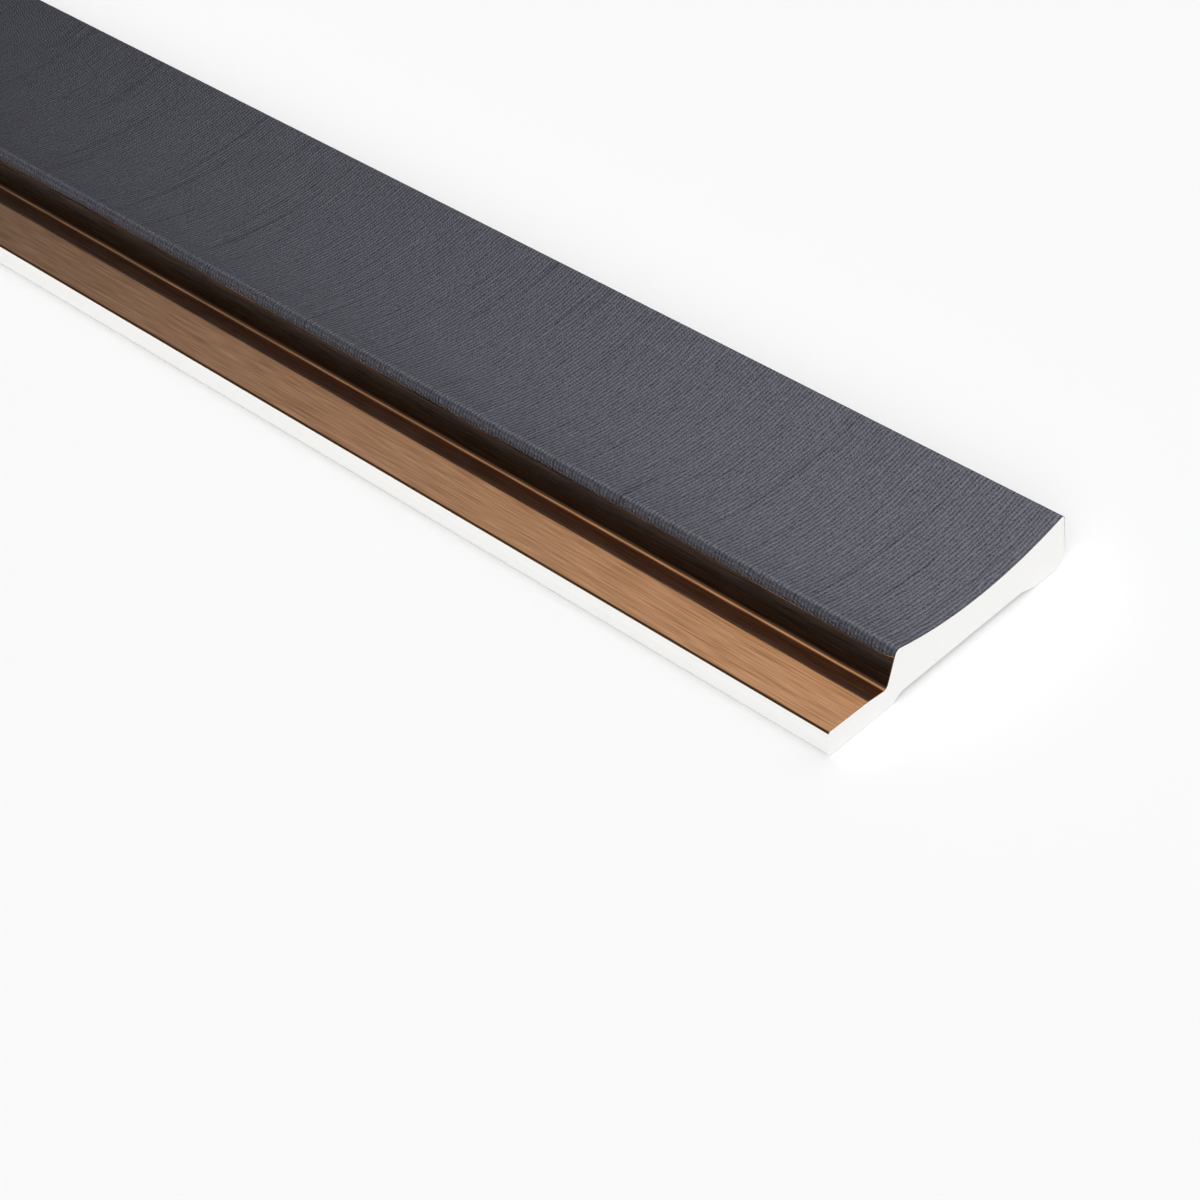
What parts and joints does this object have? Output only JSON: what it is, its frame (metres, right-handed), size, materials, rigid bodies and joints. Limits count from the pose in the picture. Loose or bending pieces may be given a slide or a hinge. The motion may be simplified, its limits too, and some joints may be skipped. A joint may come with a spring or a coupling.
{
  "type": "slat wall panel",
  "caption": "Long foam wall slat with a dished, dark ribbed fabric-look face and a stepped bronze tongue that sits in the groove between neighbouring slats.",
  "frame": {"origin": "middle of the panel's length and width, on the plane of its back, which lies on the floor", "axes": "+X along the length, +Y across the width from the tongue to the butt edge, +Z out of the back towards the decor face"},
  "size_m": [2.7, 0.12, 0.0221],
  "materials": {
    "white_foam": "white closed-cell polystyrene foam, smooth extrusion skin and sawn ends",
    "dark_fabric_film": "matt anthracite decor film with an embossed linen rib across the width",
    "bronze_foil": "metallised bronze decor foil, brushed along the length"
  },
  "bodies": {
    "root": {"foam_moulding": "white_foam", "fabric_film": "dark_fabric_film", "bronze_foil": "bronze_foil"}
  },
  "joints": []
}
